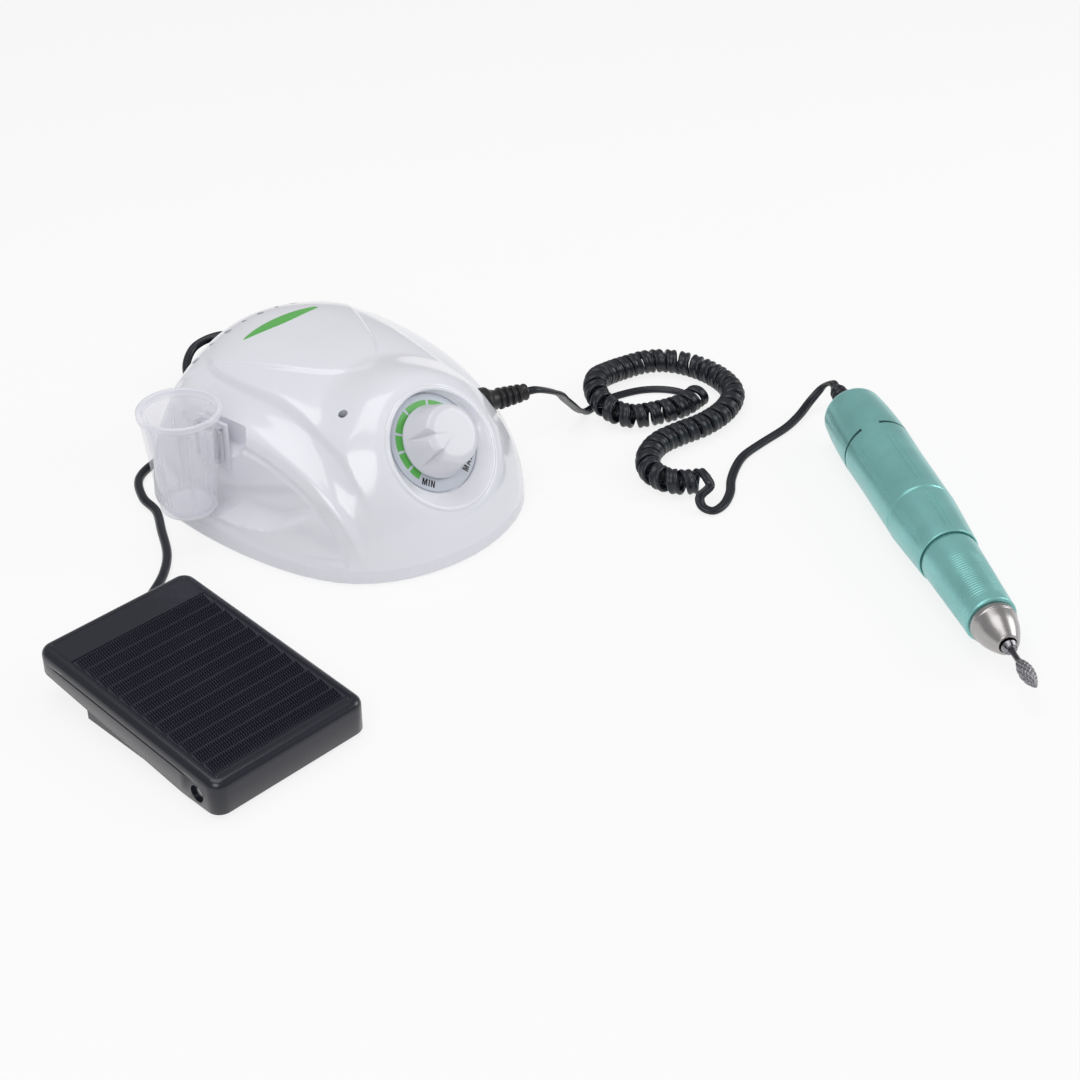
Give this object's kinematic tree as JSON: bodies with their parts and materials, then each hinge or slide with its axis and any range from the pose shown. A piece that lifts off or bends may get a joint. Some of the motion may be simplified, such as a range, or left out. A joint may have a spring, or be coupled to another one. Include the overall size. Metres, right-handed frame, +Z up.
{
  "type": "dental micromotor",
  "caption": "Bench dental micromotor set: domed speed-control box with dial and handpiece cup, foot pedal, and a straight motor handpiece on a curly cord.",
  "frame": {"origin": "table level under the middle of the box, pedal and handpiece together, cords left out", "axes": "+Z up from the table, the box and its dial face -Y, the pedal lies to -X, the handpiece to +X"},
  "size_m": [0.3742, 0.4349, 0.0671],
  "materials": {
    "shell_white": "glossy moulded",
    "tray_white": "satin moulded",
    "foot_rubber": "matt",
    "screw_steel": "plated",
    "dial_grey": "printed",
    "knob_white": "glossy moulded",
    "pot_phenolic": "plain",
    "brass": "plain",
    "lamp_green": "lens",
    "badge_green": "glossy",
    "cup_frosted": "frosted translucent",
    "core_iron": "laminated",
    "copper_wire": "wound",
    "board_green": "lacquered",
    "can_grey": "sleeved",
    "sink_aluminium": "extruded",
    "black_plastic": "satin moulded",
    "cord_black": "satin",
    "mint_metal": "satin metallic",
    "nose_steel": "turned",
    "magnet_grey": "sintered",
    "pedal_black": "satin moulded",
    "mat_black": "knurled"
  },
  "bodies": {
    "set": {"top_shell": "shell_white", "base_tray": "tray_white", "box_feet": "foot_rubber", "case_screws": "screw_steel", "dial_plate": "dial_grey", "potentiometer": "pot_phenolic", "pot_nut": "brass", "power_led": "lamp_green", "crown_badge": "badge_green", "cup_bracket": "tray_white", "transformer_core": "core_iron", "transformer_coil": "copper_wire", "circuit_board": "board_green", "capacitors": "can_grey", "heat_sink": "sink_aluminium", "rear_panel": "tray_white", "power_switch": "black_plastic", "direction_switch": "black_plastic", "fuse_holder": "black_plastic", "mains_inlet": "black_plastic", "inlet_pins": "brass", "pedal_jack": "black_plastic", "pedal_plug": "black_plastic", "cord_gland": "black_plastic", "lead_cord": "cord_black", "curly_cord": "cord_black", "tail_cord": "cord_black", "cord_boot": "cord_black", "rear_cap": "mint_metal", "motor_body": "mint_metal", "taper_sleeve": "mint_metal", "nose_cone": "nose_steel", "stator_magnet": "magnet_grey", "brush_holder": "pot_phenolic", "rear_bearing": "screw_steel", "front_bearing": "screw_steel", "pedal_base": "pedal_black", "return_spring": "screw_steel", "pedal_switch": "black_plastic", "pedal_feet": "foot_rubber", "pedal_gland": "black_plastic", "pedal_cord": "cord_black", "pedal_coil": "cord_black", "coil_tie": "cord_black", "plug_cord": "cord_black"},
    "knob": {"speed_knob": "knob_white", "pot_shaft": "screw_steel"},
    "power_key": {"power_rocker": "black_plastic"},
    "direction_key": {"direction_rocker": "black_plastic"},
    "cup": {"handpiece_cup": "cup_frosted"},
    "footplate": {"treadle": "pedal_black", "tread_mat": "mat_black", "hinge_pin": "screw_steel"},
    "plunger": {"switch_plunger": "tray_white"},
    "collar": {"twist_collar": "mint_metal"},
    "motor_shaft": {"rotor": "copper_wire", "spindle": "nose_steel", "collet": "nose_steel", "bur": "nose_steel"}
  },
  "joints": [
    {"name": "speed_dial", "type": "hinge", "parent": "set", "child": "knob", "pos_m": [-0.00692, 0.06092, 0.0449], "axis": [0, 0.788, -0.6157], "range_deg": [0, 270]},
    {"name": "power_tip", "type": "hinge", "parent": "set", "child": "power_key", "pos_m": [-0.03992, 0.17222, 0.026], "axis": [1, 0, 0], "range_deg": [-9, 0]},
    {"name": "direction_tip", "type": "hinge", "parent": "set", "child": "direction_key", "pos_m": [0.00108, 0.17222, 0.026], "axis": [1, 0, 0], "range_deg": [-9, 0]},
    {"name": "cup_lift", "type": "slide", "parent": "set", "child": "cup", "axis": [0, 0, 1], "range_m": [0, 0.022]},
    {"name": "treadle_press", "type": "hinge", "parent": "set", "child": "footplate", "pos_m": [-0.14842, -0.00428, 0.007], "axis": [-1, 0, 0], "range_deg": [0, 4], "stiffness_Nm_per_rad": 3, "springref_deg": -5.73, "deforming": ["return_spring"]},
    {"name": "plunger_push", "type": "slide", "parent": "set", "child": "plunger", "axis": [0, 0, -1], "range_m": [0, 0.0029]},
    {"name": "collar_twist", "type": "hinge", "parent": "set", "child": "collar", "pos_m": [0.12528, -0.09028, 0.01458], "axis": [-0.5534, -0.8329, -0.008], "range_deg": [0, 60]},
    {"name": "motor_spin", "type": "hinge", "parent": "set", "child": "motor_shaft", "pos_m": [0.12528, -0.09028, 0.01458], "axis": [-0.5534, -0.8329, -0.008], "continuous": true}
  ],
  "couplings": [
    {"joint": "plunger_push", "follows": "treadle_press", "m_per_rad": 0.041}
  ]
}
